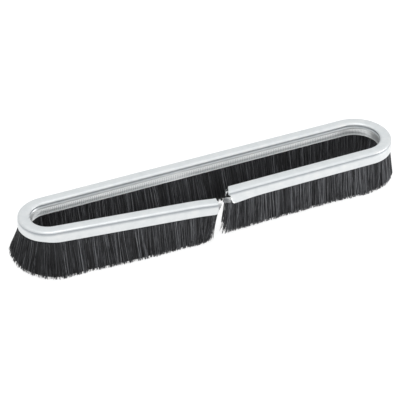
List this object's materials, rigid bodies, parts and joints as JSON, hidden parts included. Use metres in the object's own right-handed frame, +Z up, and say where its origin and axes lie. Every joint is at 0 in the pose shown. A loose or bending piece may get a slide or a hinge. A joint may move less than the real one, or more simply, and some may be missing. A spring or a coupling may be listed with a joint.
{
  "type": "channel strip brush loop",
  "caption": "Strip brush bent into an open oblong loop: a folded zinc-plated steel channel grips black plastic filament over a core wire, as a dense sealing skirt.",
  "frame": {"origin": "under the middle of the bounding box, on the surface that the filament tips stand on", "axes": "+X along the length of the loop, +Z up from the filament tips to the crown of the channel, -Y towards the long side with the open joint"},
  "size_m": [0.317, 0.0666, 0.0339],
  "materials": {
    "zinc_plated_steel": "bright zinc plate over rolled strip, satin, with fine cross serrations inside the loop",
    "bright_steel_wire": "drawn wire, satin",
    "black_filament": "straight black nylon or polypropylene filament, slight sheen"
  },
  "bodies": {
    "root": {"steel_channel": "zinc_plated_steel", "core_wire": "bright_steel_wire", "filaments_front_left": "black_filament", "filaments_left_bend_front": "black_filament", "filaments_left_bend_middle": "black_filament", "filaments_left_bend_back": "black_filament", "filaments_back_left": "black_filament", "filaments_back_right": "black_filament", "filaments_right_bend_back": "black_filament", "filaments_right_bend_middle": "black_filament", "filaments_right_bend_front": "black_filament", "filaments_front_right": "black_filament"}
  },
  "joints": []
}
